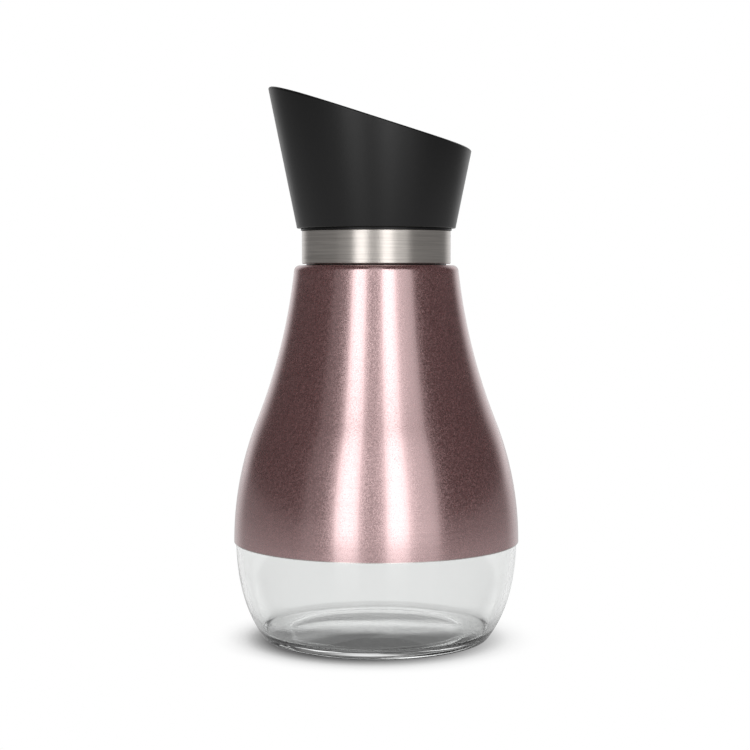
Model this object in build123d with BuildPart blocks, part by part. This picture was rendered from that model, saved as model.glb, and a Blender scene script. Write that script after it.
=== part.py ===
from build123d import *

import os
from math import asin, atan2, cos, degrees, radians, sin, tan

# Oil and vinegar cruet: a pear-shaped glass bottle in a lacquered steel sleeve, with a
# screw-on pouring head. A flap in the head opens by itself when the bottle is tipped.
# Millimetres. Z is up, the origin is the middle of the base on the table, and the
# pouring lip is towards -X.

os.makedirs("parts", exist_ok=True)

# Pear shape, on the outside of the sleeve. The widest ring is the sleeve's lower edge, and
# a bulging arc and a hollow arc lead from there up to the shoulder.
belly_radius = 45.0
belly_height = 31.0
shoulder_step = 6.8
shoulder_slope = radians(5.9)
waist_arc = 183.0
lower_belly_arc = 68.0
lower_belly_turn = radians(13.4)
heel_side_arc = 42.6

# Steel sleeve, slipped over the glass
sleeve_wall = 0.35
sleeve_gap = 0.3
sleeve_top = 118.0
sleeve_corner = 2.0
adhesive_height = 5.0
adhesive_clearance = 0.03

# Glass
glass_wall = 1.5
shoulder_drop = 1.2
shoulder_corner = 4.5
neck_radius = 18.9
neck_wall = 2.9
rim_round = 0.9
neck_root_round = 0.8
shoulder_thickness = 3.4
inner_shoulder_corner = 4.0
bore_round = 1.6
heel_round = 3.2
foot_width = 7.6
foot_round = 1.2
punt_rise = 1.8
floor_edge_height = 3.0
floor_middle_height = 4.6
floor_round = 2.6

# Neck grommet
grommet_clearance = 0.1
grommet_space = 1.5
grommet_depth = 1.0
grommet_flange_width = 1.6
grommet_flange = 0.3

# Screw collar and its steel band
turn_gap = 0.1
band_wall = 0.5
band_height = 10.4
band_chamfer = 0.25
band_fit = 0.05
collar_wall = 2.35
collar_recess = 0.4
collar_deck = 2.5
thread_space = 1.6
lip_step = 0.3
lip_height = 0.7
lip_round = 0.25
gasket_thickness = 1.5
gasket_clearance = 0.3

# Slanting spout
spout_step = 1.2
spout_flare = radians(11.5)
spout_tip_rise = 44.2
spout_back_rise = 24.4
mouth_crown = 1.3
spout_wall = 1.8
spout_floor = 1.8
spout_rim_round = 0.8
spout_foot_round = 0.3
spout_inner_round = 1.8
locating_wall = 1.3
snap_bead = 0.5
snap_height = 0.7

# Pour insert: dish, plug, pour hole, air hole
plug_clearance = 0.8
plug_wall = 2.4
plug_depth = 9.5
plug_fit = 0.1
plug_round = 0.9
insert_seal_thickness = 1.0
insert_seal_width = 3.6
insert_deck = 1.8
dish_inset = 0.6
dish_slope = radians(25)
dish_fit = 0.15
dish_round = 1.8
pour_hole_radius = 6.0
pour_hole_margin = 1.8
seat_height = 1.0
seat_width = 1.2
air_hole_radius = 0.9
air_hole_margin = 1.1
plug_seal_drop = 6.2
plug_seal_radius = 0.9
seal_clearance = 0.08

# Flap, its pendulum and its hinge
pin_radius = 1.0
pin_clearance = 0.05
pivot_behind_flap = 0.8
pivot_rise = 11.0
flap_side_gap = 0.3
flap_overhang = 1.0
flap_plate = 1.4
flap_plate_round = 0.35
flap_pad = 1.0
flap_pad_inset = 0.6
pad_stem_radius = 1.4
pad_button_radius = 2.4
pad_button = 0.8
seat_gap = 0.05
barrel_radius = 2.4
barrel_length = 12.0
arm_width = 7.0
arm_thickness = 1.8
pendulum_x = 0.5
pendulum_drop = 5.9
pendulum_wall = 0.9
weight_radius = 2.6
weight_length = 8.0
weight_chamfer = 0.26
ear_thickness = 2.0
ear_head_radius = 3.2
ear_front = 2.6
ear_back = 4.6
stop_width = 1.8
stop_height = 1.5
stop_reach = 3.2
stop_gap = 0.3
lug_width = 1.6
lug_length = 4.8

# Heights of the head, stacked up from the top of the sleeve
shoulder_height = sleeve_top - shoulder_drop
band_bottom = sleeve_top + grommet_flange + turn_gap
collar_top = band_bottom + band_height + lip_height
gasket_top = collar_top - collar_deck
rim_height = gasket_top - gasket_thickness
spout_tip_height = collar_top + spout_tip_rise
spout_back_height = collar_top + spout_back_rise
spout_floor_top = collar_top + spout_floor
plug_shoulder = spout_floor_top + insert_seal_thickness
deck_top = plug_shoulder + insert_deck
seat_top = deck_top + seat_height
pivot_z = deck_top + pivot_rise
plug_seal_height = gasket_top - plug_seal_drop

# Radii round the neck, outwards
shoulder_radius = neck_radius + shoulder_step
sleeve_hole_radius = neck_radius + grommet_space
grommet_flange_radius = sleeve_hole_radius + grommet_flange_width
thread_bore = neck_radius + thread_space
gasket_radius = thread_bore - gasket_clearance
collar_radius = thread_bore + collar_wall
band_radius = collar_radius + band_fit + band_wall
lip_radius = band_radius + lip_step
spout_radius = lip_radius + spout_step

# Radii inside the neck, and of what grips the plug
neck_bore_radius = neck_radius - neck_wall
plug_radius = neck_bore_radius - plug_clearance
plug_bore_radius = plug_radius - plug_wall
plug_hole_radius = plug_radius + plug_fit
locating_radius = plug_hole_radius + locating_wall
deck_opening = locating_radius + plug_fit
snap_radius = locating_radius + snap_bead
dish_radius = plug_radius - dish_inset

# Both holes lie inside the plug's bore, and the flap hangs behind the pour hole
pour_hole_x = pour_hole_radius + pour_hole_margin - plug_bore_radius
air_hole_x = plug_bore_radius - air_hole_radius - air_hole_margin
flap_radius = pour_hole_radius + seat_width + flap_overhang
flap_pad_radius = flap_radius - flap_pad_inset
pivot_x = pour_hole_x + flap_radius + pivot_behind_flap

# The two arcs of the flank meet where both lean by flank_turn
glass_inset = sleeve_wall + sleeve_gap
flank_rise = sleeve_top - belly_height + waist_arc * sin(shoulder_slope)
flank_reach = belly_radius - shoulder_radius + waist_arc * (1 - cos(shoulder_slope))
flank_turn = 2 * atan2(flank_reach, flank_rise)
upper_belly_arc = flank_rise / sin(flank_turn) - waist_arc
upper_centre = (belly_radius - upper_belly_arc, belly_height)
waist_centre = (
    shoulder_radius + waist_arc * cos(shoulder_slope),
    sleeve_top + waist_arc * sin(shoulder_slope),
)
lower_centre = (belly_radius - lower_belly_arc, belly_height)
heel_centre = (
    lower_centre[0] + (lower_belly_arc - heel_side_arc) * cos(lower_belly_turn),
    lower_centre[1] - (lower_belly_arc - heel_side_arc) * sin(lower_belly_turn),
)


def polar(centre, radius, angle):
    return (centre[0] + radius * cos(angle), centre[1] + radius * sin(angle))


def body_radius(inset, height):
    """Radius of the hollow waist arc at a height, moved inwards by inset."""
    turn = asin((waist_centre[1] - height) / (waist_arc + inset))
    return waist_centre[0] - (waist_arc + inset) * cos(turn)


def belly_to_shoulder(inset, top):
    """The pear's outline from the widest ring up to a height, moved inwards by inset."""
    waist = waist_arc + inset
    end_turn = asin((waist_centre[1] - top) / waist)
    CenterArc(upper_centre, upper_belly_arc - inset, 0, degrees(flank_turn))
    CenterArc(waist_centre, waist, 180 + degrees(flank_turn), degrees(end_turn - flank_turn))


def belly_to_heel(inset, bottom):
    """The outline from the widest ring down to a height; returns the radius there."""
    side = heel_side_arc - inset
    end_turn = asin((heel_centre[1] - bottom) / side)
    CenterArc(lower_centre, lower_belly_arc - inset, 0, -degrees(lower_belly_turn))
    CenterArc(heel_centre, side, -degrees(lower_belly_turn), -degrees(end_turn - lower_belly_turn))
    return heel_centre[0] + side * cos(end_turn)


def corner(sketch, point):
    """The corner of a sketch nearest to a point of its own plane."""
    return min(sketch.vertices(), key=lambda v: (Vector(*v) - Vector(*point)).length)


def spout_outside(height):
    return spout_radius + (height - collar_top) * tan(spout_flare)


def spout_inside(height):
    return spout_outside(height) - spout_wall / cos(spout_flare)


# Glass bottle: outside, foot and push-up, then the bore, the inside and the floor
with BuildPart() as glass_bottle:
    inner = glass_inset + glass_wall
    inner_shoulder = shoulder_height - shoulder_thickness
    glass_shoulder = body_radius(glass_inset, shoulder_height)
    with BuildSketch(Plane.XZ) as glass_profile:
        with BuildLine():
            belly_to_shoulder(glass_inset, shoulder_height)
            foot_radius = belly_to_heel(glass_inset, 0)
            foot_inner_radius = foot_radius - foot_width
            Line((foot_radius, 0), (foot_inner_radius, 0))
            TangentArc((0, punt_rise), (foot_inner_radius, 0), tangent=(1, 0))
            Line((0, punt_rise), (0, floor_middle_height))
            floor_radius = belly_to_heel(inner, floor_edge_height)
            TangentArc((0, floor_middle_height), (floor_radius, floor_edge_height), tangent=(1, 0))
            belly_to_shoulder(inner, inner_shoulder)
            Polyline(
                (body_radius(inner, inner_shoulder), inner_shoulder),
                (neck_bore_radius, inner_shoulder),
                (neck_bore_radius, rim_height),
                (neck_radius, rim_height),
                (neck_radius, shoulder_height),
                (glass_shoulder, shoulder_height),
            )
        make_face()
        rounds = [
            ((foot_radius, 0), heel_round),
            ((foot_inner_radius, 0), foot_round),
            ((floor_radius, floor_edge_height), floor_round),
            ((body_radius(inner, inner_shoulder), inner_shoulder), inner_shoulder_corner),
            ((neck_bore_radius, inner_shoulder), bore_round),
            ((neck_bore_radius, rim_height), rim_round),
            ((neck_radius, rim_height), rim_round),
            ((neck_radius, shoulder_height), neck_root_round),
            ((glass_shoulder, shoulder_height), shoulder_corner),
        ]
        for point, radius in rounds:
            fillet(corner(glass_profile, point), radius)
    revolve(axis=Axis.Z)
glass_bottle.part.label = "glass_bottle"
export_step(glass_bottle.part, "parts/glass_bottle.step")

# Steel sleeve: one wall of constant thickness with a flat top and a hole for the neck
with BuildPart() as steel_sleeve:
    under_top = sleeve_top - sleeve_wall
    with BuildSketch(Plane.XZ) as sleeve_profile:
        with BuildLine():
            belly_to_shoulder(0, sleeve_top)
            belly_to_shoulder(sleeve_wall, under_top)
            Line((belly_radius, belly_height), (belly_radius - sleeve_wall, belly_height))
            Polyline(
                (body_radius(0, sleeve_top), sleeve_top),
                (sleeve_hole_radius, sleeve_top),
                (sleeve_hole_radius, under_top),
                (body_radius(sleeve_wall, under_top), under_top),
            )
        make_face()
        fillet(corner(sleeve_profile, (body_radius(0, sleeve_top), sleeve_top)), sleeve_corner)
        fillet(
            corner(sleeve_profile, (body_radius(sleeve_wall, under_top), under_top)),
            sleeve_corner - sleeve_wall,
        )
    revolve(axis=Axis.Z)
steel_sleeve.part.label = "steel_sleeve"
export_step(steel_sleeve.part, "parts/steel_sleeve.step")

# Ring of clear adhesive that fills the gap just above the sleeve's lower edge
with BuildPart() as sleeve_adhesive:
    turn = asin(adhesive_height / upper_belly_arc)
    outer_arc = upper_belly_arc - sleeve_wall - adhesive_clearance
    inner_arc = upper_belly_arc - glass_inset + adhesive_clearance
    with BuildSketch(Plane.XZ):
        with BuildLine():
            CenterArc(upper_centre, outer_arc, 0, degrees(turn))
            CenterArc(upper_centre, inner_arc, 0, degrees(turn))
            Line(polar(upper_centre, inner_arc, 0), polar(upper_centre, outer_arc, 0))
            Line(polar(upper_centre, inner_arc, turn), polar(upper_centre, outer_arc, turn))
        make_face()
    revolve(axis=Axis.Z)
sleeve_adhesive.part.label = "sleeve_adhesive"
export_step(sleeve_adhesive.part, "parts/sleeve_adhesive.step")

# Grommet: centres the sleeve's hole on the neck, with a thin flange on top of the sleeve
with BuildPart() as neck_grommet:
    grommet_bore = neck_radius + grommet_clearance
    with BuildSketch(Plane.XZ):
        with BuildLine():
            Polyline(
                (grommet_bore + neck_root_round, sleeve_top - grommet_depth),
                (sleeve_hole_radius - grommet_clearance, sleeve_top - grommet_depth),
                (sleeve_hole_radius - grommet_clearance, sleeve_top),
                (grommet_flange_radius, sleeve_top),
                (grommet_flange_radius, sleeve_top + grommet_flange),
                (grommet_bore, sleeve_top + grommet_flange),
                (grommet_bore, sleeve_top - grommet_depth + neck_root_round),
                close=True,
            )
        make_face()
    revolve(axis=Axis.Z)
neck_grommet.part.label = "neck_grommet"
export_step(neck_grommet.part, "parts/neck_grommet.step")

# Flat gasket on the glass rim
with BuildPart() as mouth_gasket:
    with BuildSketch(Plane.XY.offset(rim_height)):
        Circle(gasket_radius)
        Circle(snap_radius + plug_fit, mode=Mode.SUBTRACT)
    extrude(amount=gasket_thickness)
mouth_gasket.part.label = "mouth_gasket"
export_step(mouth_gasket.part, "parts/mouth_gasket.step")

# Ring seal between the plug and the neck's bore
with BuildPart() as plug_seal:
    plug_seal_centre = neck_bore_radius - seal_clearance - plug_seal_radius
    with BuildSketch(Plane.XZ):
        with Locations((plug_seal_centre, plug_seal_height)):
            Circle(plug_seal_radius)
    revolve(axis=Axis.Z)
plug_seal.part.label = "plug_seal"
export_step(plug_seal.part, "parts/plug_seal.step")

# Screw collar: skirt, deck that presses the gasket down, and a lip that caps the band
with BuildPart() as screw_collar:
    with BuildSketch(Plane.XZ) as collar_profile:
        with BuildLine():
            Polyline(
                (thread_bore, band_bottom + collar_recess),
                (collar_radius, band_bottom + collar_recess),
                (collar_radius, collar_top - lip_height),
                (lip_radius, collar_top - lip_height),
                (lip_radius, collar_top),
                (deck_opening, collar_top),
                (deck_opening, gasket_top),
                (thread_bore, gasket_top),
                close=True,
            )
        make_face()
        chamfer(corner(collar_profile, (thread_bore, band_bottom + collar_recess)), collar_recess)
        fillet(corner(collar_profile, (lip_radius, collar_top)), lip_round)
    revolve(axis=Axis.Z)
screw_collar.part.label = "screw_collar"
export_step(screw_collar.part, "parts/screw_collar.step")

# Brushed steel band round the collar
with BuildPart() as steel_band:
    with BuildSketch(Plane.XZ) as band_profile:
        with Locations((band_radius - band_wall, band_bottom)):
            Rectangle(band_wall, band_height, align=(Align.MIN, Align.MIN))
        for height in (band_bottom, band_bottom + band_height):
            chamfer(corner(band_profile, (band_radius, height)), band_chamfer)
    revolve(axis=Axis.Z)
steel_band.part.label = "steel_band"
export_step(steel_band.part, "parts/steel_band.step")

# Spout shell: flared cone with a floor and a locating ring that snaps under the collar's
# deck. Its mouth is cut along a slant that rises to the pouring lip. The cut is slightly
# crowned, so that the mouth's sides lie below the line from the lip to the back.
with BuildPart() as spout_shell:
    above_tip = spout_tip_height + spout_wall
    tip = Vector(-spout_outside(spout_tip_height), 0, spout_tip_height)
    back = Vector(spout_outside(spout_back_height), 0, spout_back_height)
    ring_bottom = gasket_top - snap_height
    with BuildSketch(Plane.XZ) as spout_profile:
        with BuildLine():
            Polyline(
                (plug_hole_radius, ring_bottom),
                (snap_radius - snap_bead / 2, ring_bottom),
                (snap_radius, gasket_top - snap_height / 2),
                (locating_radius, gasket_top - plug_fit),
                (locating_radius, collar_top),
                (spout_radius, collar_top),
                (spout_outside(above_tip), above_tip),
                (spout_inside(above_tip), above_tip),
                (spout_inside(spout_floor_top), spout_floor_top),
                (plug_hole_radius, spout_floor_top),
                close=True,
            )
        make_face()
        fillet(corner(spout_profile, (spout_radius, collar_top)), spout_foot_round)
        fillet(
            corner(spout_profile, (spout_inside(spout_floor_top), spout_floor_top)),
            spout_inner_round,
        )
    revolve(axis=Axis.Z)
    # The crowned cut's arc reaches twice as far as the mouth's sides, so it falls four times
    # as far there
    arc_end = spout_outside(spout_tip_height) + spout_outside(spout_back_height)
    arc_drop = 4 * mouth_crown
    with BuildSketch(Plane(origin=tip, x_dir=(0, -1, 0), z_dir=tip - back)):
        with BuildLine():
            ThreePointArc((-arc_end, -arc_drop), (0, 0), (arc_end, -arc_drop))
            Polyline(
                (arc_end, -arc_drop),
                (arc_end, spout_tip_height),
                (-arc_end, spout_tip_height),
                (-arc_end, -arc_drop),
            )
        make_face()
    extrude(amount=2 * (tip - back).length, both=True, mode=Mode.SUBTRACT)
    mouth_edges = spout_shell.faces().sort_by(Axis.Z)[-1].edges()
    fillet(mouth_edges, spout_rim_round)
spout_shell.part.label = "spout_shell"
export_step(spout_shell.part, "parts/spout_shell.step")

# Pour insert: a dish that drains to the pour hole, over a plug that fits into the neck
with BuildPart() as pour_insert:
    dish_rise = tan(dish_slope)
    dish_skin = insert_deck / cos(dish_slope)
    plug_bottom = gasket_top - plug_depth
    # The dish runs out until it meets the spout's inner wall
    dish_edge = (
        spout_inside(deck_top) - dish_fit - dish_radius * dish_rise * tan(spout_flare)
    ) / (1 - dish_rise * tan(spout_flare))
    dish_edge_height = deck_top + (dish_edge - dish_radius) * dish_rise
    under_edge_height = dish_edge_height - dish_skin
    under_edge = spout_inside(under_edge_height) - dish_fit
    seal_width_end = plug_hole_radius + insert_seal_width
    with BuildSketch(Plane.XZ) as insert_profile:
        with BuildLine():
            Polyline(
                (0, deck_top),
                (dish_radius, deck_top),
                (dish_edge, dish_edge_height),
                (under_edge, under_edge_height),
                (seal_width_end, plug_shoulder + (seal_width_end - dish_radius) * dish_rise),
                (seal_width_end, plug_shoulder),
                (plug_radius, plug_shoulder),
                (plug_radius, plug_bottom + plug_round),
                (plug_radius - plug_round, plug_bottom),
                (plug_bore_radius, plug_bottom),
                (plug_bore_radius, plug_shoulder),
                (0, plug_shoulder),
                close=True,
            )
        make_face()
        with Locations((plug_radius, plug_seal_height)):
            groove = plug_radius - (plug_seal_centre - plug_seal_radius) + seal_clearance
            groove_width = 2 * (plug_seal_radius + seal_clearance)
            Rectangle(2 * groove, groove_width, mode=Mode.SUBTRACT)
        fillet(corner(insert_profile, (dish_radius, deck_top)), dish_round)
    revolve(axis=Axis.Z)
    # Raised seat round the pour hole, then the pour hole and the air hole
    with BuildSketch(Plane.XY.offset(deck_top)):
        with Locations((pour_hole_x, 0)):
            Circle(pour_hole_radius + seat_width)
    extrude(amount=seat_height)
    with BuildSketch(Plane.XY.offset(plug_shoulder)):
        with Locations((pour_hole_x, 0)):
            Circle(pour_hole_radius)
        with Locations((air_hole_x, 0)):
            Circle(air_hole_radius)
    extrude(amount=insert_deck + seat_height, mode=Mode.SUBTRACT)
    # Two ears with round heads carry the pin, and a bar between them stops the flap
    ear_inside = barrel_length / 2 + flap_side_gap
    for side in (-1, 1):
        with BuildSketch(Plane.XZ.offset(-side * ear_inside)):
            with Locations((pivot_x, pivot_z)):
                Circle(ear_head_radius)
            with BuildLine():
                Polyline(
                    (pivot_x - ear_front, deck_top),
                    (pivot_x + ear_back, deck_top),
                    (pivot_x + ear_head_radius, pivot_z),
                    (pivot_x - ear_front, pivot_z),
                    close=True,
                )
            make_face()
        extrude(amount=-side * ear_thickness)
    with BuildSketch(Plane.XZ.offset(-ear_inside - ear_thickness)):
        with Locations((pivot_x + stop_reach, pivot_z + stop_gap)):
            Rectangle(stop_width, stop_height, align=(Align.MIN, Align.MAX))
    extrude(amount=2 * (ear_inside + ear_thickness))
    with BuildSketch(Plane.XZ.offset(-ear_inside - ear_thickness)):
        with Locations((pivot_x, pivot_z)):
            Circle(pin_radius)
    extrude(amount=2 * (ear_inside + ear_thickness), mode=Mode.SUBTRACT)
pour_insert.part.label = "pour_insert"
export_step(pour_insert.part, "parts/pour_insert.step")

# Washer between the insert's shoulder and the spout's floor
with BuildPart() as insert_seal:
    with BuildSketch(Plane.XY.offset(spout_floor_top)):
        Circle(seal_width_end)
        Circle(plug_hole_radius, mode=Mode.SUBTRACT)
    extrude(amount=insert_seal_thickness)
insert_seal.part.label = "insert_seal"
export_step(insert_seal.part, "parts/insert_seal.step")

# Flap: round plate, arm, hinge barrel, stop lug and the pendulum that holds the weight
pad_bottom = seat_top + seat_gap
plate_bottom = pad_bottom + flap_pad
plate_top = plate_bottom + flap_plate
arm_front = pour_hole_x + pad_button_radius + flap_side_gap
with BuildPart() as flap:
    with BuildSketch(Plane.XY.offset(plate_bottom)):
        with Locations((pour_hole_x, 0)):
            Circle(flap_radius)
    extrude(amount=flap_plate)
    fillet(flap.edges().group_by(Axis.Z)[-1], flap_plate_round)
    # Arm and lug lie across the middle, drawn as seen from the side
    with BuildSketch(Plane.XZ.offset(-arm_width / 2)):
        with BuildLine():
            Polyline(
                (pivot_x - barrel_radius, pivot_z),
                (pivot_x, pivot_z + barrel_radius / 2),
                (pivot_x + pendulum_x + arm_thickness, pivot_z - pendulum_drop),
                (pivot_x - arm_thickness, plate_bottom),
                (arm_front, plate_bottom),
                (arm_front, plate_top),
                close=True,
            )
        make_face()
        with Locations((pivot_x, pivot_z)):
            Rectangle(lug_width, lug_length, align=(Align.CENTER, Align.MIN))
    extrude(amount=arm_width)
    with BuildSketch(Plane.XZ.offset(-barrel_length / 2)):
        with Locations((pivot_x, pivot_z)):
            Circle(barrel_radius)
    extrude(amount=barrel_length)
    with BuildSketch(Plane.XZ.offset(-weight_length / 2)):
        with Locations((pivot_x + pendulum_x, pivot_z - pendulum_drop)):
            Circle(weight_radius + pendulum_wall)
    extrude(amount=weight_length)
    with BuildSketch(Plane.XZ.offset(-barrel_length / 2)):
        with Locations((pivot_x, pivot_z)):
            Circle(pin_radius + pin_clearance)
        with Locations((pivot_x + pendulum_x, pivot_z - pendulum_drop)):
            Circle(weight_radius)
    extrude(amount=barrel_length, mode=Mode.SUBTRACT)
    with BuildSketch(Plane.XY.offset(plate_bottom)):
        with Locations((pour_hole_x, 0)):
            Circle(pad_stem_radius)
    extrude(amount=pivot_z - plate_bottom, mode=Mode.SUBTRACT)
flap.part.label = "flap"
export_step(flap.part, "parts/flap.step")

# Silicone pad under the flap, held by a stem and a button pulled through the plate
with BuildPart() as flap_seal:
    with BuildSketch(Plane(origin=(pour_hole_x, 0, 0), x_dir=(1, 0, 0), z_dir=(0, -1, 0))):
        with BuildLine():
            Polyline(
                (0, pad_bottom),
                (flap_pad_radius, pad_bottom),
                (flap_pad_radius, plate_bottom),
                (pad_stem_radius, plate_bottom),
                (pad_stem_radius, plate_top),
                (pad_button_radius, plate_top),
                (pad_stem_radius, plate_top + pad_button),
                (0, plate_top + pad_button),
                close=True,
            )
        make_face()
    revolve(axis=Axis((pour_hole_x, 0, 0), (0, 0, 1)))
flap_seal.part.label = "flap_seal"
export_step(flap_seal.part, "parts/flap_seal.step")

# Steel roller in the pendulum
with BuildPart() as flap_weight:
    with BuildSketch(Plane.XZ.offset(-weight_length / 2)):
        with Locations((pivot_x + pendulum_x, pivot_z - pendulum_drop)):
            Circle(weight_radius)
    extrude(amount=weight_length)
    chamfer(flap_weight.edges().filter_by(GeomType.CIRCLE), weight_chamfer)
flap_weight.part.label = "flap_weight"
export_step(flap_weight.part, "parts/flap_weight.step")

# Hinge pin, pressed into the ears
with BuildPart() as hinge_pin:
    with BuildSketch(Plane.XZ.offset(-ear_inside - ear_thickness)):
        with Locations((pivot_x, pivot_z)):
            Circle(pin_radius)
    extrude(amount=2 * (ear_inside + ear_thickness))
hinge_pin.part.label = "hinge_pin"
export_step(hinge_pin.part, "parts/hinge_pin.step")
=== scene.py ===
from math import acos, asin, atan2, cos, hypot, pi, radians, sin, sqrt, tan

import bmesh
import bpy
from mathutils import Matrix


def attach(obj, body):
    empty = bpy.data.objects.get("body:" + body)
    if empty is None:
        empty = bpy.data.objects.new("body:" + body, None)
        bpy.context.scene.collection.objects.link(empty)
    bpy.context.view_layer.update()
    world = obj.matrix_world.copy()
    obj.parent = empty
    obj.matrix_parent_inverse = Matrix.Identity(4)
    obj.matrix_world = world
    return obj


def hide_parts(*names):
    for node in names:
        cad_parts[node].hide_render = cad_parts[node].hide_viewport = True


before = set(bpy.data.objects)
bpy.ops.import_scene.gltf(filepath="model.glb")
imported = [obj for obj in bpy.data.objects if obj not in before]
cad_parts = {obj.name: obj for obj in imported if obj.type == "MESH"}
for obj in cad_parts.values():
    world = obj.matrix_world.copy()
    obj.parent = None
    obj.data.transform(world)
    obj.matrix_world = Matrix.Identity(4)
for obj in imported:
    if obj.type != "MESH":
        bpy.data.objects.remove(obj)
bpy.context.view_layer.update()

# Clear glass bottle: blown pear with a thick base and a push-up under it. Its neck carries
# the thread that the pouring head screws on. Only the lowest quarter shows, the rest is
# under the sleeve.
# Lengths are in millimetres, and times mm they are metres
mm = 0.001
belly_radius = 45.0
belly_height = 31.0
neck_radius = 18.9
neck_bore = 16.0
sleeve_top = 118.0
shoulder_radius = neck_radius + 6.8
shoulder_slope = radians(5.9)
waist_arc = 183.0
lower_belly_arc = 68.0
lower_belly_turn = radians(13.4)
heel_side_arc = 42.6
flank_rise = sleeve_top - belly_height + waist_arc * sin(shoulder_slope)
flank_reach = belly_radius - shoulder_radius + waist_arc * (1 - cos(shoulder_slope))
flank_turn = 2 * atan2(flank_reach, flank_rise)
upper_belly_arc = flank_rise / sin(flank_turn) - waist_arc
upper_centre = (belly_radius - upper_belly_arc, belly_height)
waist_centre = (
    shoulder_radius + waist_arc * cos(shoulder_slope),
    sleeve_top + waist_arc * sin(shoulder_slope),
)
lower_centre = (belly_radius - lower_belly_arc, belly_height)
heel_centre = (
    lower_centre[0] + (lower_belly_arc - heel_side_arc) * cos(lower_belly_turn),
    lower_centre[1] - (lower_belly_arc - heel_side_arc) * sin(lower_belly_turn),
)
glass_inset = 0.65
glass_wall = 1.5
shoulder_height = 116.8
rim_height = 125.5
thread_lead = 3.0
thread_bottom = 119.4
thread_top = 124.2
thread_height = 1.2
crease = radians(32)


def arc(centre, radius, start, end, steps):
    """Points along an arc, both ends included. Angles are in radians, 0 is outwards."""
    turns = [start + (end - start) * i / steps for i in range(steps + 1)]
    return [(centre[0] + radius * cos(a), centre[1] + radius * sin(a)) for a in turns]


def angle_from(centre, point):
    return atan2(point[1] - centre[1], point[0] - centre[0])


def dome_arc(reach, rise):
    """Radius of the arc that rises so much over that reach."""
    return (reach**2 + rise**2) / (2 * rise)


def heel_reach(radius, height):
    """How far out an arc of that radius round the heel's centre is at that height."""
    return heel_centre[0] + sqrt(radius**2 - (heel_centre[1] - height) ** 2)


def flank_up(inset, top_turn):
    """The pear from its widest ring up to where the hollow arc leans by top_turn."""
    belly = arc(upper_centre, upper_belly_arc - inset, 0, flank_turn, 24)
    waist = arc(waist_centre, waist_arc + inset, pi + flank_turn, pi + top_turn, 32)
    return belly + waist[1:]


def heel_up(inset, low_turn):
    """The pear from low on the heel, where it leans by low_turn, up to its widest ring."""
    side = arc(heel_centre, heel_side_arc - inset, low_turn, -lower_belly_turn, 20)
    return side + arc(lower_centre, lower_belly_arc - inset, -lower_belly_turn, 0, 12)[1:-1]


def shoulder_corner(inset, top, radius):
    """Round corner between the hollow flank and a flat shoulder, and the flank's lean there."""
    height = top - radius
    reach = waist_arc + inset + radius
    across = waist_centre[0] - sqrt(reach**2 - (waist_centre[1] - height) ** 2)
    lean = asin((waist_centre[1] - height) / reach)
    return arc((across, height), radius, lean, pi / 2, 8), lean


def glass_section():
    """Section of the bottle from the push-up round the outside, the rim and the inside."""
    # Push-up, foot and heel outside
    heel_round, foot_width, push_up = 3.2, 7.6, 1.8
    outer_wall = heel_side_arc - glass_inset
    heel = (heel_reach(outer_wall - heel_round, heel_round), heel_round)
    heel_lean = angle_from(heel_centre, heel)
    foot_inner = heel_reach(outer_wall, 0) - foot_width
    dome = dome_arc(foot_inner, push_up)
    points = arc((0, push_up - dome), dome, pi / 2, pi / 2 - asin(foot_inner / dome), 28)
    points += arc(heel, heel_round, -pi / 2, heel_lean, 8)
    points += heel_up(glass_inset, heel_lean)[1:]
    # Flank, shoulder and neck outside; the neck's rows are close enough to carry the thread
    shoulder_round, root_round, rim_round, rows = 4.5, 0.8, 0.9, 44
    shoulder, lean = shoulder_corner(glass_inset, shoulder_height, shoulder_round)
    low, high = shoulder_height + root_round, rim_height - rim_round
    points += flank_up(glass_inset, lean)[:-1] + shoulder
    points += arc((neck_radius + root_round, low), root_round, -pi / 2, -pi, 4)
    points += [(neck_radius, low + (high - low) * i / rows) for i in range(1, rows)]
    points += arc((neck_radius - rim_round, high), rim_round, 0, pi / 2, 6)
    points += arc((neck_bore + rim_round, high), rim_round, pi / 2, pi, 6)
    # Bore, shoulder and flank inside
    throat_round, inner_round, shoulder_wall = 1.6, 4.0, 3.4
    inner = glass_inset + glass_wall
    under = shoulder_height - shoulder_wall
    throat = (neck_bore + throat_round, under + throat_round)
    points += arc(throat, throat_round, pi, 3 * pi / 2, 6)
    shoulder, lean = shoulder_corner(inner, under, inner_round)
    points += shoulder[::-1] + flank_up(inner, lean)[::-1][1:]
    # Floor: a low dome that runs into the side in a wide round corner
    floor_edge, floor_middle, floor_round = 3.0, 4.6, 2.6
    inner_wall = heel_side_arc - inner
    dome = dome_arc(heel_reach(inner_wall, floor_edge), floor_middle - floor_edge)
    dome_centre = (0, floor_middle - dome)
    to_heel, to_dome = inner_wall - floor_round, dome + floor_round
    apart = hypot(heel_centre[0], heel_centre[1] - dome_centre[1])
    swing = acos((to_dome**2 + apart**2 - to_heel**2) / (2 * to_dome * apart))
    turn = angle_from(dome_centre, heel_centre) - swing
    corner = (dome_centre[0] + to_dome * cos(turn), dome_centre[1] + to_dome * sin(turn))
    side_lean = angle_from(heel_centre, corner)
    points += heel_up(inner, side_lean)[::-1]
    points += arc(corner, floor_round, side_lean, turn - pi, 12)[1:]
    points += arc(dome_centre, dome, turn, pi / 2, 30)[1:]
    return points


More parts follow.
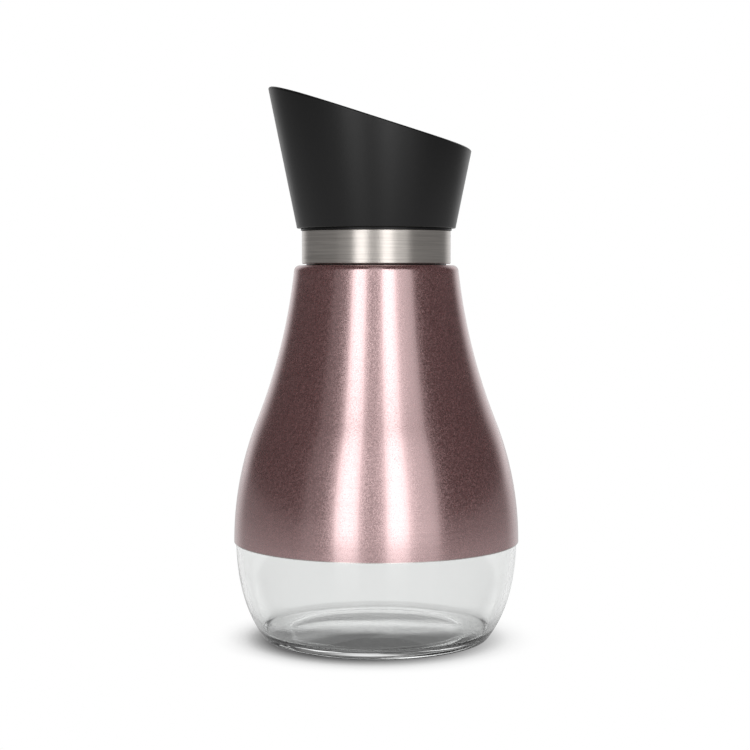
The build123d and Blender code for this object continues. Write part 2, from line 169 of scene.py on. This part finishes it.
class Wire:
    """A node's output. Used in an expression, it adds the Math nodes that work it out."""

    def __init__(self, net, node, socket):
        self.net, self.node, self.socket = net, node, socket

    def out(self, name):
        return Wire(self.net, self.node, Net.find(self.node.outputs, name))

    def math(self, operation, *values):
        sockets = dict(enumerate(values))
        return self.net.make("ShaderNodeMath", {"operation": operation}, sockets)

    def __add__(self, other):
        return self.math("ADD", self, other)

    def __sub__(self, other):
        return self.math("SUBTRACT", self, other)

    def __rsub__(self, other):
        return self.math("SUBTRACT", other, self)

    def __mul__(self, other):
        return self.math("MULTIPLY", self, other)

    def __rmul__(self, other):
        return self.math("MULTIPLY", other, self)

    def __truediv__(self, other):
        return self.math("DIVIDE", self, other)

    def __pow__(self, other):
        return self.math("POWER", self, other)

    def __gt__(self, other):
        return self.math("GREATER_THAN", self, other)

    def __lt__(self, other):
        return self.math("LESS_THAN", self, other)

    def __abs__(self):
        return self.math("ABSOLUTE", self)

    def cosine(self):
        return self.math("COSINE", self)

    def sine(self):
        return self.math("SINE", self)

    def clamped(self):
        """Kept between 0 and 1."""
        return self.math("MAXIMUM", self.math("MINIMUM", self, 1.0), 0.0)

    def smooth(self, low, high):
        """0 below low, 1 above high, eased in between."""
        part = ((self - low) / (high - low)).clamped()
        return part * part * (3 - 2 * part)


class Net:
    """A node tree, filled by one method."""

    def __init__(self, tree):
        self.tree = tree

    @staticmethod
    def find(sockets, name):
        if isinstance(name, int):
            return sockets[name]
        return next(s for s in sockets if s.name == name and s.enabled)

    def make(self, kind, settings=None, sockets=None, output=0):
        """Adds a node: its settings first, then its sockets' values or links."""
        node = self.tree.nodes.new(kind)
        for name, value in (settings or {}).items():
            setattr(node, name, value)
        for name, value in (sockets or {}).items():
            socket = self.find(node.inputs, name)
            if isinstance(value, Wire):
                self.tree.links.new(value.socket, socket)
            else:
                socket.default_value = value
        return Wire(self, node, self.find(node.outputs, output))


def noise(net, place, scale, detail):
    sockets = {"Vector": place, "Scale": scale, "Detail": detail}
    return net.make("ShaderNodeTexNoise", None, sockets)


def bump(net, height, strength, distance):
    sockets = {"Strength": strength, "Distance": distance, "Height": height}
    return net.make("ShaderNodeBump", None, sockets)


def finish_of(name, build):
    """A material: build gets its net and the coordinates, and returns the shader's output."""
    material = bpy.data.materials.new(name)
    material.use_nodes = True
    material.node_tree.nodes.clear()
    net = Net(material.node_tree)
    place = net.make("ShaderNodeTexCoord").out("Object")
    surface = build(net, place)
    end = net.tree.nodes.new("ShaderNodeOutputMaterial")
    net.tree.links.new(surface.socket, end.inputs["Surface"])
    return material


def turned(name, section, material, segments=192, closed=True, shape=None):
    """A turned piece: its section, points (radius, height) in mm, goes round the Z axis.
    shape takes wires of a point's radius, angle and height, and returns a new radius and
    height."""
    points = section + section[:1] if closed else section
    mesh = bpy.data.meshes.new(name)
    mesh.from_pydata([(r * mm, 0, z * mm) for r, z in points], [], [])
    piece = bpy.data.objects.new(name, mesh)
    bpy.context.scene.collection.objects.link(piece)
    tree = bpy.data.node_groups.new(name + "_turning", "GeometryNodeTree")
    tree.interface.new_socket("Section", in_out="INPUT", socket_type="NodeSocketGeometry")
    count = tree.interface.new_socket("Segments", in_out="INPUT", socket_type="NodeSocketInt")
    sharp = tree.interface.new_socket("Sharp from", in_out="INPUT", socket_type="NodeSocketFloat")
    tree.interface.new_socket("Piece", in_out="OUTPUT", socket_type="NodeSocketGeometry")
    net = Net(tree)
    given = net.make("NodeGroupInput")
    around = given.out("Segments") + 1
    rows = net.make("GeometryNodeAttributeDomainSize", None, {"Geometry": given}).out("Point Count")
    grid = net.make("GeometryNodeMeshGrid", None, {"Vertices X": rows, "Vertices Y": around})
    # The grid's points go row by row: each row is one point of the section, taken round
    index = net.make("GeometryNodeInputIndex")
    part = (index + 0.5) / around
    row = part.math("FLOOR", part)
    column = index - row * around
    corner = net.make(
        "GeometryNodeSampleIndex",
        {"data_type": "FLOAT_VECTOR", "domain": "POINT"},
        {"Geometry": given, "Value": net.make("GeometryNodeInputPosition"), "Index": row},
    )
    corner = net.make("ShaderNodeSeparateXYZ", None, {"Vector": corner})
    angle = column / given.out("Segments") * (-2 * pi)
    radius, height = corner.out("X"), corner.out("Z")
    if shape:
        radius, height = shape(radius, angle, height)
    spot = {"X": radius * angle.cosine(), "Y": radius * angle.sine(), "Z": height}
    spot = net.make("ShaderNodeCombineXYZ", None, spot)
    skin = net.make("GeometryNodeSetPosition", None, {"Geometry": grid, "Position": spot})
    skin = net.make("GeometryNodeMergeByDistance", None, {"Geometry": skin, "Distance": 2e-6})
    bend = net.make("GeometryNodeInputMeshEdgeAngle").out("Unsigned Angle")
    skin = net.make("GeometryNodeSetShadeSmooth", None, {"Geometry": skin, "Shade Smooth": True})
    skin = net.make(
        "GeometryNodeSetShadeSmooth",
        {"domain": "EDGE"},
        {"Geometry": skin, "Selection": bend > given.out("Sharp from"), "Shade Smooth": False},
    )
    skin = net.make("GeometryNodeRealizeInstances", None, {"Geometry": skin})
    skin = net.make("GeometryNodeSetMaterial", None, {"Geometry": skin, "Material": material})
    end = net.tree.nodes.new("NodeGroupOutput")
    tree.links.new(skin.socket, end.inputs["Piece"])
    modifier = piece.modifiers.new("Turning", "NODES")
    modifier.node_group = tree
    modifier[count.identifier] = segments
    modifier[sharp.identifier] = crease
    seen = piece.evaluated_get(bpy.context.evaluated_depsgraph_get())
    piece.data = bpy.data.meshes.new_from_object(seen)
    piece.modifiers.remove(modifier)
    return piece


def thread_on(wall, height, phase):
    """A screw thread of one start on the wall of that radius, for turned(). Height is how
    far it stands out, negative for a thread inside a bore, and phase is in turns."""

    def shape(radius, angle, level):
        turns = (level - thread_bottom * mm) / (thread_lead * mm) - angle / (2 * pi) - phase
        whole = turns.math("ROUND", turns)
        beside = abs(turns - whole) * thread_lead
        along = whole + angle / (2 * pi)
        first, last = -0.5, (thread_top - thread_bottom) / thread_lead - 0.5
        ends = along.smooth(first, first + 0.08) * (1 - along.smooth(last - 0.1, last))
        crest_side, root_side, tolerance = 0.22, 0.65, 0.02
        crest = 1 - beside.smooth(crest_side, root_side)
        on_wall = abs(radius - wall * mm) < tolerance * mm
        return radius + crest * ends * on_wall * (height * mm), level

    return shape


def uneven(shape):
    """Adds the low waves of pressed glass to a shape, for turned(). They are in the floor
    and the push-up, and higher on the photograph's side."""

    def wavy(radius, angle, level):
        radius, level = shape(radius, angle, level)
        across, away = radius * angle.cosine(), radius * angle.sine()
        spot = {"X": across, "Y": away, "Z": level}
        spot = radius.net.make("ShaderNodeCombineXYZ", None, spot)
        waves = noise(radius.net, spot, 36.0, 0.0)
        inside = 1 - radius.smooth(30 * mm, 40 * mm)
        base = level.smooth(0.3 * mm, 1.2 * mm) * (1 - level.smooth(6 * mm, 8 * mm))
        swell = (1 - away.smooth(-22 * mm, -4 * mm)) * (1.1 * mm) + 0.4 * mm
        return radius, level + (waves - 0.5) * inside * base * swell

    return wavy


def clear_glass(net, place):
    ripple = noise(net, place, 38.0, 1.0)
    return net.make(
        "ShaderNodeBsdfPrincipled",
        None,
        {
            "Base Color": (0.905, 0.912, 0.908, 1),
            "Roughness": 0.0,
            "IOR": 1.5,
            "Transmission Weight": 1.0,
            "Normal": bump(net, ripple, 0.06, 0.001),
        },
    )


bottle = turned(
    "bottle",
    glass_section(),
    finish_of("clear_glass", clear_glass),
    segments=256,
    closed=False,
    shape=uneven(thread_on(neck_radius, thread_height, 0.0)),
)
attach(bottle, "bottle")
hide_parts("glass_bottle")

# Ring of clear adhesive between the glass and the sleeve's lower edge. It is poured in
# before the sleeve is pushed home, and shows only as a fine wet line.
sleeve_wall = 0.35
glue_clearance = 0.03
glue_height = 5.0


def adhesive(net, place):
    pitted = noise(net, place, 400.0, 2.0)
    return net.make(
        "ShaderNodeBsdfPrincipled",
        None,
        {
            "Base Color": (0.9, 0.9, 0.88, 1),
            "Roughness": 0.12,
            "IOR": 1.45,
            "Transmission Weight": 0.9,
            "Normal": bump(net, pitted, 0.3, 0.0002),
        },
    )


outer_arc = upper_belly_arc - sleeve_wall - glue_clearance
inner_arc = upper_belly_arc - glass_inset + glue_clearance
glue_turn = asin(glue_height / upper_belly_arc)
glue = turned(
    "glue_ring",
    arc(upper_centre, outer_arc, 0, glue_turn, 6) + arc(upper_centre, inner_arc, glue_turn, 0, 6),
    finish_of("clear_adhesive", adhesive),
)
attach(glue, "bottle")
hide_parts("sleeve_adhesive")

# Sleeve: thin steel, spun to the bottle's shape, with a flat top and a hole for the neck.
# Outside it has a rose lacquer with fine metal flake under a clear coat. The cut edge at
# the bottom and the inside are bare.
sleeve_corner = 2.0
sleeve_hole = neck_radius + 1.5
bare_edge = 0.22


def blend(net, factor, first, second):
    """Mixes two colours."""
    sockets = {"Factor": factor, "A": first, "B": second}
    return net.make("ShaderNodeMix", {"data_type": "RGBA"}, sockets, output="Result")


def streaks(net, place, scale, detail):
    """Noise whose scale differs along X, Y and Z."""
    stretched = net.make("ShaderNodeMapping", None, {"Vector": place, "Scale": scale})
    return noise(net, stretched, 1.0, detail)


def rose_lacquer(net, place):
    # Each flake has its own lean and lightness
    flakes = net.make(
        "ShaderNodeTexVoronoi", {"feature": "F1"}, {"Vector": place, "Scale": 4600.0}
    )
    centred = {0: flakes.out("Color"), 1: (0.5, 0.5, 0.5)}
    lean = net.make("ShaderNodeVectorMath", {"operation": "SUBTRACT"}, centred)
    lean = net.make("ShaderNodeVectorMath", {"operation": "SCALE"}, {0: lean, "Scale": 0.006})
    facing = net.make("ShaderNodeNewGeometry").out("Normal")
    leaning = net.make("ShaderNodeVectorMath", {"operation": "ADD"}, {0: facing, 1: lean})
    leaning = net.make("ShaderNodeVectorMath", {"operation": "NORMALIZE"}, {0: leaning})
    glint = net.make("ShaderNodeSeparateColor", None, {"Color": flakes.out("Color")}).out("Blue")
    glint = glint * glint
    # Cloudy drift in the sprayed colour, and lines of the brushed steel, which show through
    # the lacquer low on the belly
    drift = noise(net, place, 60.0, 3.0)
    lines = streaks(net, place, (35.0, 35.0, 3800.0), 3.0)
    position = net.make("ShaderNodeSeparateXYZ", None, {"Vector": place})
    low = 1 - position.out("Z").smooth(34 * mm, 70 * mm) * 0.85
    shade = (drift - 0.5) * 0.1 + (lines - 0.5) * low * 0.4 + glint * 0.1 + 0.5
    paint = blend(net, shade, (0.39, 0.288, 0.291, 1), (0.78, 0.576, 0.582, 1))
    # Outside and above the cut edge
    direction = net.make("ShaderNodeSeparateXYZ", None, {"Vector": facing})
    outwards = position.out("X") * direction.out("X") + position.out("Y") * direction.out("Y")
    above = position.out("Z") > (belly_height + bare_edge) * mm
    lacquered = (outwards > 0.0) * above
    metal = net.make(
        "ShaderNodeBsdfPrincipled",
        None,
        {
            "Base Color": blend(net, lacquered, (0.6, 0.58, 0.56, 1), paint),
            "Metallic": 1.0,
            "Roughness": glint * 0.14 + 0.2,
            "Coat Weight": lacquered * 0.6,
            "Coat Roughness": 0.05,
            "Normal": leaning,
        },
    )
    speckle = blend(net, glint, (0.13, 0.0, 0.0, 1), (0.55, 0.215, 0.215, 1))
    pigment = net.make("ShaderNodeBsdfDiffuse", None, {"Color": speckle})
    return net.make("ShaderNodeMixShader", None, {0: lacquered * 0.21, 1: metal, 2: pigment})


top, top_lean = shoulder_corner(0, sleeve_top, sleeve_corner)
sleeve_under = sleeve_top - sleeve_wall
under, under_lean = shoulder_corner(sleeve_wall, sleeve_under, sleeve_corner - sleeve_wall)
outside = flank_up(0, top_lean) + top[1:]
inside = flank_up(sleeve_wall, under_lean) + under[1:]
sleeve = turned(
    "sleeve",
    outside + [(sleeve_hole, sleeve_top), (sleeve_hole, sleeve_under)] + inside[::-1],
    finish_of("rose_lacquer", rose_lacquer),
    segments=256,
)
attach(sleeve, "bottle")
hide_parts("steel_sleeve")

# Grommet: black silicone ring in the sleeve's top hole, with a thin flange on top. It keeps
# the sleeve centred on the neck and shows as a fine dark line under the band.
grommet_bore = neck_radius + 0.1
grommet_lead = 0.8
grommet_radius = sleeve_hole - 0.1
grommet_bottom = sleeve_top - 1
flange_radius = sleeve_hole + 1.6
flange_top = sleeve_top + 0.3


def silicone(colour, roughness):
    """Silicone of that colour with a film of paler dust, for finish_of()."""

    def build(net, place):
        dust = noise(net, place, 900.0, 4.0)
        dusty = tuple(1.6 * c + 0.02 for c in colour)
        return net.make(
            "ShaderNodeBsdfPrincipled",
            None,
            {
                "Base Color": blend(net, dust.smooth(0.45, 0.8) * 0.4, (*colour, 1), (*dusty, 1)),
                "Roughness": dust * 0.12 + (roughness - 0.06),
                "IOR": 1.41,
                "Normal": bump(net, dust, 0.15, 0.0001),
            },
        )

    return build


grommet = turned(
    "grommet",
    [
        (grommet_bore + grommet_lead, grommet_bottom),
        (grommet_radius, grommet_bottom),
        (grommet_radius, sleeve_top),
        (flange_radius, sleeve_top),
        (flange_radius, flange_top),
        (grommet_bore, flange_top),
        (grommet_bore, grommet_bottom + grommet_lead),
    ],
    finish_of("black_silicone", silicone((0.016, 0.016, 0.016), 0.6)),
)
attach(grommet, "bottle")
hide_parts("neck_grommet")

# Mouth gasket and plug ring: soft grey silicone. The flat gasket lies on the glass rim
# under the collar, and the round ring sits in the plug's groove inside the neck.
gasket_top = rim_height + 1.5
plug_radius = 15.2
plug_hole = plug_radius + 0.1
ring_seat = plug_hole + 1.3
gasket_hole = ring_seat + 0.6
gasket_radius = neck_radius + 1.3
ring_round = 0.9
ring_gap = 0.08
ring_drop = 6.2
grey_silicone = finish_of("grey_silicone", silicone((0.5, 0.51, 0.5), 0.5))


def washer(inner, outer, bottom, top):
    """Section of a flat ring with small round edges."""
    edge = 0.2
    corners = [(outer, bottom, -90), (outer, top, 0), (inner, top, 90), (inner, bottom, 180)]
    points = []
    for r, z, start in corners:
        across = r - edge if r == outer else r + edge
        height = z + edge if z == bottom else z - edge
        points += arc((across, height), edge, radians(start), radians(start + 90), 3)
    return points


gasket_section = washer(gasket_hole, gasket_radius, rim_height, gasket_top)
gasket = turned("gasket", gasket_section, grey_silicone)
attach(gasket, "gasket")
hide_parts("mouth_gasket")
ring_middle = (neck_bore - ring_gap - ring_round, gasket_top - ring_drop)
plug_ring = turned("plug_ring", arc(ring_middle, ring_round, 0, 2 * pi, 20)[:-1], grey_silicone)
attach(plug_ring, "plug_ring")
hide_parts("plug_seal")

# Screw collar: moulded black plastic with the nut thread inside. Its deck presses the
# gasket down, and its top lip caps the steel band as a thin black step.
collar_top = gasket_top + 2.5
band_radius = 23.4
band_bottom = flange_top + 0.1
thread_bore = neck_radius + 1.6
collar_radius = thread_bore + 2.35
collar_foot = band_bottom + 0.4
foot_ease = 0.4
deck_opening = ring_seat + 0.1
lip_radius = band_radius + 0.3
lip_bottom = collar_top - 0.7
lip_round = 0.23


def black_plastic(net, place):
    grain = noise(net, place, 2600.0, 2.0)
    haze = noise(net, place, 45.0, 3.0)
    return net.make(
        "ShaderNodeBsdfPrincipled",
        None,
        {
            "Base Color": blend(net, haze, (0.0045, 0.0045, 0.0048, 1), (0.006, 0.0059, 0.0061, 1)),
            "Roughness": haze * 0.08 + 0.33,
            "IOR": 1.4,
            "Normal": bump(net, grain, 0.25, 0.00006),
        },
    )


plastic = finish_of("black_plastic", black_plastic)
# The bore's rows are close enough to carry the thread
rows = 48
bore_depth = gasket_top - collar_foot - foot_ease
collar = turned(
    "collar",
    [
        (thread_bore + foot_ease, collar_foot),
        (collar_radius, collar_foot),
        (collar_radius, lip_bottom),
        (lip_radius, lip_bottom),
    ]
    + arc((lip_radius - lip_round, collar_top - lip_round), lip_round, 0, pi / 2, 4)
    + [(deck_opening, collar_top), (deck_opening, gasket_top)]
    + [(thread_bore, gasket_top - bore_depth * i / rows) for i in range(rows + 1)],
    plastic,
    segments=256,
    shape=thread_on(thread_bore, -thread_height, 0.5),
)
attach(collar, "head")
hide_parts("screw_collar")

# Steel band: a strip rolled and welded to a ring, pressed on the collar. Brushed all round,
# with small bevels at both edges.
band_inner = band_radius - 0.5
band_top = band_bottom + 10.4
bevel = 0.25


def brushed_steel(net, place):
    fine = streaks(net, place, (120.0, 120.0, 5000.0), 4.0)
    wide = streaks(net, place, (40.0, 40.0, 1900.0), 2.0)
    shade = (fine * 0.4 + wide * 0.6 - 0.5) * 1.1 + 0.47
    return net.make(
        "ShaderNodeBsdfPrincipled",
        None,
        {
            "Base Color": blend(net, shade, (0.33, 0.307, 0.286, 1), (0.8, 0.752, 0.708, 1)),
            "Metallic": 1.0,
            "Roughness": fine * 0.1 + 0.32,
            "Anisotropic": 0.8,
            "Anisotropic Rotation": 0.25,
            "Normal": bump(net, fine, 0.2, 0.00004),
        },
    )


band = turned(
    "band",
    [
        (band_inner, band_bottom),
        (band_radius - bevel, band_bottom),
        (band_radius, band_bottom + bevel),
        (band_radius, band_top - bevel),
        (band_radius - bevel, band_top),
        (band_inner, band_top),
    ],
    finish_of("brushed_steel", brushed_steel),
    segments=256,
)
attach(band, "head")
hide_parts("steel_band")

# Spout: moulded black cone whose mouth is cut on a slant and rises to the pouring lip. The
# ring under its floor snaps below the collar's deck.
flare_angle = radians(11.5)
flare = tan(flare_angle)
spout_radius = lip_radius + 1.2
tip_height = collar_top + 44.2
back_height = collar_top + 24.4
tip_ease = 0.1
mouth_crown = 1.3
mouth_round = 0.8
spout_wall = 1.8
floor_top = collar_top + 1.8
snap_depth = 0.7
snap_reach = 0.5
snap_gap = 0.1
hole_round = 0.2
skirt_round = 0.3


def cone(height, skin=0.0):
    """Radius of the cone's outside at that height, or of a face so far under its skin."""
    return spout_radius + (height - collar_top) * flare - skin / cos(flare_angle)


def rounded(corners):
    """Points of an outline whose corners (radius, height, rounding) are rounded."""
    points = []
    for i, (x, z, size) in enumerate(corners):
        before, after = corners[i - 1], corners[(i + 1) % len(corners)]
        if not size:
            points.append((x, z))
            continue
        to_before = (before[0] - x, before[1] - z)
        to_after = (after[0] - x, after[1] - z)
        to_before = tuple(v / hypot(*to_before) for v in to_before)
        to_after = tuple(v / hypot(*to_after) for v in to_after)
        half = acos(to_before[0] * to_after[0] + to_before[1] * to_after[1]) / 2
        middle = tuple(a + b for a, b in zip(to_before, to_after))
        reach = size / sin(half) / hypot(*middle)
        centre = (x + middle[0] * reach, z + middle[1] * reach)
        side = size / tan(half)
        start = angle_from(centre, (x + to_before[0] * side, z + to_before[1] * side))
        end = angle_from(centre, (x + to_after[0] * side, z + to_after[1] * side))
        sweep = (end - start + pi) % (2 * pi) - pi
        points += arc(centre, size, start, start + sweep, 7)
    return points


def slanted(radius, angle, level):
    """Slides the cone's points along its wall, so that its flat mouth becomes slanted."""
    slope = (tip_height - back_height) / (cone(tip_height) + cone(back_height))
    middle = tip_height - tip_ease - slope * cone(tip_height)
    foot = radius - level * flare
    cosine, sine = angle.cosine(), angle.sine()
    cut = (middle * mm - cosine * foot * slope) / (cosine * (slope * flare) + 1)
    cut = cut - sine * sine * (mouth_crown * hypot(1, slope) * mm)
    base = floor_top + spout_wall + 0.5
    share = (level - base * mm) / ((tip_height - base) * mm)
    move = share.math("MAXIMUM", 0.0, share) * (cut - tip_height * mm)
    return radius + move * flare, level + move


spout = turned(
    "spout",
    rounded(
        [
            (plug_hole, gasket_top - snap_depth, hole_round),
            (ring_seat + snap_reach / 2, gasket_top - snap_depth, 0),
            (ring_seat + snap_reach, gasket_top - snap_depth / 2, 0),
            (ring_seat, gasket_top - snap_gap, 0),
            (ring_seat, collar_top, 0),
            (spout_radius, collar_top, skirt_round),
            (cone(tip_height), tip_height, mouth_round),
            (cone(tip_height, spout_wall), tip_height, mouth_round),
            (cone(floor_top, spout_wall), floor_top, spout_wall),
            (plug_hole, floor_top, hole_round),
        ]
    ),
    plastic,
    segments=256,
    shape=slanted,
)
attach(spout, "head")
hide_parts("spout_shell")

# Pour insert with its washer: a black dish that drains to the pour hole, over a plug that
# fits the neck. Two ears carry the hinge, and the washer seals it on the spout's floor.
def eased(name, node, material, width):
    """A copy of a solid with its faces joined, its edges eased by width in mm and smooth
    shading across them."""
    work = bmesh.new()
    work.from_mesh(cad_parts[node].data)
    bmesh.ops.remove_doubles(work, verts=work.verts, dist=1e-6)
    bmesh.ops.dissolve_limit(work, angle_limit=radians(1), verts=work.verts, edges=work.edges)
    mesh = bpy.data.meshes.new(name)
    work.to_mesh(mesh)
    work.free()
    mesh.materials.clear()
    mesh.materials.append(material)
    piece = bpy.data.objects.new(name, mesh)
    bpy.context.scene.collection.objects.link(piece)
    easing = piece.modifiers.new("Eased edges", "BEVEL")
    easing.width = width * mm
    easing.segments = 2
    easing.limit_method = "ANGLE"
    easing.angle_limit = crease
    easing.use_clamp_overlap = True
    seen = piece.evaluated_get(bpy.context.evaluated_depsgraph_get())
    piece.data = bpy.data.meshes.new_from_object(seen)
    piece.modifiers.remove(easing)
    piece.data.shade_smooth()
    piece.data.set_sharp_from_angle(angle=crease)
    return piece


insert = eased("pour_dish", "pour_insert", plastic, 0.15)
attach(insert, "head")
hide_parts("pour_insert")
washer_width, washer_height = 3.6, 1.0
washer_section = washer(
    plug_hole, plug_hole + washer_width, floor_top, floor_top + washer_height
)
seal_washer = turned("seal_washer", washer_section, grey_silicone)
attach(seal_washer, "head")
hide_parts("insert_seal")

# Hinge pin: turned from stainless steel, with its ends eased. It is pressed through both of
# the insert's ears, and the flap swings on it.
def polished_steel(net, place):
    rings = streaks(net, place, (700.0, 9000.0, 700.0), 2.0)
    return net.make(
        "ShaderNodeBsdfPrincipled",
        None,
        {
            "Base Color": blend(net, rings, (0.56, 0.56, 0.55, 1), (0.68, 0.67, 0.66, 1)),
            "Metallic": 1.0,
            "Roughness": rings * 0.1 + 0.12,
            "Normal": bump(net, rings, 0.1, 0.00002),
        },
    )


bright_steel = finish_of("polished_steel", polished_steel)
pin = eased("pin", "hinge_pin", bright_steel, 0.1)
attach(pin, "head")
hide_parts("hinge_pin")

# Flap: black plastic lid over the pour hole, with a silicone pad buttoned under it. The
# steel roller in its pendulum keeps it shut until the bottle is tipped.
flap = eased("flap_plate", "flap", plastic, 0.12)
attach(flap, "flap")
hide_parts("flap")
pad = eased("flap_pad", "flap_seal", grey_silicone, 0.12)
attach(pad, "flap")
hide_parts("flap_seal")
roller = eased("roller", "flap_weight", bright_steel, 0.08)
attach(roller, "flap")
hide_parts("flap_weight")

# Studio: pale floor and white surroundings, two tall soft lights on the camera's side with
# a weaker one beyond each, and a camera that stands as the photograph's did.
def floor_with_painted_shade(net, place):
    """White for the camera, with the object's shadow painted in, greyer with painted shade and
    light for rays through the glass and in mirror images, and pale paper for all other light."""
    rays = net.make("ShaderNodeLightPath")
    seen, through = rays.out("Is Camera Ray"), rays.out("Is Transmission Ray")
    mirrored = rays.out("Is Glossy Ray") * (1 - through)
    spot = net.make("ShaderNodeSeparateXYZ", None, {"Vector": place})
    along, away = spot.out("X"), spot.out("Y")
    reach = (along * along + away * away) ** 0.5 + 0.001
    # The shadow: a wide one, a close one at the foot, and both darker on the left in front
    occlusion = net.make("ShaderNodeAmbientOcclusion", {"samples": 8}, {"Distance": 0.018})
    wide = occlusion.out("AO")
    occlusion = net.make("ShaderNodeAmbientOcclusion", {"samples": 8}, {"Distance": 0.007})
    close = occlusion.out("AO")
    left = along / reach * -0.5 - away / reach * 0.5
    beside = 1 - (1 - wide.smooth(0.15, 0.82)) * (left * 0.35 + 0.52).clamped()
    beside = beside * (1 - (1 - close.smooth(0.2, 0.9)) * (left * 0.2 + 0.3))
    # Under the base, seen through the glass: painted shadow, lighter at the back, with a painted
    # pool of light that has a wavy front
    waves = {"Vector": place, "Scale": 60.0, "Detail": 2.0, "Distortion": 1.0}
    waves = net.make("ShaderNodeTexNoise", None, waves)
    pool = (1 - reach.smooth(0.025, 0.028)) * (away + (waves - 0.5) * 0.04).smooth(-0.012, 0.004)
    back = away.smooth(-0.005, 0.025) * (1 - reach.smooth(0.034, 0.05))
    painted_shade_beneath = wide.smooth(-0.1, 1.0) * (away.smooth(-0.045, 0.035) * 0.42 + 0.4) + 0.19
    painted_shade_beneath = painted_shade_beneath + pool * 0.3 + back * 0.33
    # In mirror images the floor is darker near the foot: painted shade
    mirrored_with_painted_shade = reach.smooth(0.036, 0.08) * 0.42 + 0.3
    strength = seen * beside + through * painted_shade_beneath + mirrored * mirrored_with_painted_shade
    paper = net.make("ShaderNodeBsdfDiffuse", None, {"Color": (0.8, 0.8, 0.8, 1)})
    white = net.make("ShaderNodeEmission", None, {"Strength": strength})
    polish = {"Color": (1, 1, 1, 1), "Roughness": 0.1}
    polish = net.make("ShaderNodeBsdfAnisotropic", None, polish)
    grazing = net.make("ShaderNodeFresnel", None, {"IOR": 1.5})
    shine = net.make("ShaderNodeMixShader", None, {0: grazing, 1: white, 2: polish})
    lit = (seen + through).clamped()
    surface = net.make("ShaderNodeMixShader", None, {0: lit, 1: paper, 2: white})
    return net.make("ShaderNodeMixShader", None, {0: mirrored, 1: surface, 2: shine})


floor_reach = 3.0
floor_mesh = bpy.data.meshes.new("floor")
corners = [(x * floor_reach, y * floor_reach, 0) for x, y in [(-1, -1), (1, -1), (1, 1), (-1, 1)]]
floor_mesh.from_pydata(corners, [], [(0, 1, 2, 3)])
floor_mesh.materials.append(finish_of("pale_floor", floor_with_painted_shade))
floor = bpy.data.objects.new("floor", floor_mesh)
bpy.context.scene.collection.objects.link(floor)

world = bpy.data.worlds.new("white_studio")
bpy.context.scene.world = world
world.use_nodes = True
world.node_tree.nodes.clear()
net = Net(world.node_tree)
rays = net.make("ShaderNodeLightPath")
seen, through = rays.out("Is Camera Ray"), rays.out("Is Transmission Ray")
way = net.make("ShaderNodeTexCoord").out("Generated")
way = net.make("ShaderNodeSeparateXYZ", None, {"Vector": way})
rise = way.out("Z")
flat = (way.out("X") * way.out("X") + way.out("Y") * way.out("Y")) ** 0.5
away = way.out("Y") / (flat + 0.001)
sideways = way.out("X") / (flat + 0.001)
# A bright wall behind, lower where it shows through the glass, a narrow one in front, and a
# light band along the horizon
wall = (1 - through) * (1 - rise.smooth(0.3, 0.62)) * 0.85
wall = wall + through * ((1 - rise.smooth(0.2, 0.34)) * 1.2 + 0.15)
room = (away + sideways * 0.03).smooth(0.64, 0.92) * wall
room = room + (1 - away.smooth(-1.0, -0.93)) * 0.52
room = room + (1 - rise.smooth(-0.02, 0.1)) * 0.2 + 0.08
mirror = (rays.out("Is Glossy Ray") + through).clamped()
strength = seen + (1 - seen) * (mirror * room + (1 - mirror) * 0.45)
sky = net.make("ShaderNodeBackground", None, {"Color": (1, 1, 1, 1), "Strength": strength})
end = net.tree.nodes.new("ShaderNodeOutputWorld")
net.tree.links.new(sky.socket, end.inputs["Surface"])


def softbox(name, azimuth, width, radiance):
    """A tall soft light that faces the object, azimuth degrees round it from the camera's
    side towards the right of the picture."""
    distance, height, middle = 1.2, 1.4, 0.36
    lamp = bpy.data.lights.new(name, "AREA")
    lamp.shape = "RECTANGLE"
    lamp.size, lamp.size_y = width, height
    lamp.energy = radiance * pi * width * height
    light = bpy.data.objects.new(name, lamp)
    bpy.context.scene.collection.objects.link(light)
    turn = radians(azimuth)
    light.location = (distance * sin(turn), -distance * cos(turn), middle)
    light.rotation_euler = (pi / 2, 0, turn)


softbox("softbox_left", -23.4, 0.4, 3.1)
softbox("softbox_right", 16.75, 0.37, 3.1)
softbox("fill_left", -46, 0.6, 0.17)
softbox("fill_right", 38, 0.53, 0.95)

camera_aside, camera_distance, camera_height = -0.0004, 0.534, 0.1162
camera_tilt = radians(3.52)
lens = bpy.data.cameras.new("camera")
lens.lens = 81.26
lens.sensor_width = 36.0
camera = bpy.data.objects.new("camera", lens)
camera.location = (camera_aside, -camera_distance, camera_height)
camera.rotation_euler = (pi / 2 - camera_tilt, 0, 0)
bpy.context.scene.collection.objects.link(camera)
bpy.context.scene.camera = camera
bpy.context.scene.view_settings.view_transform = "Standard"
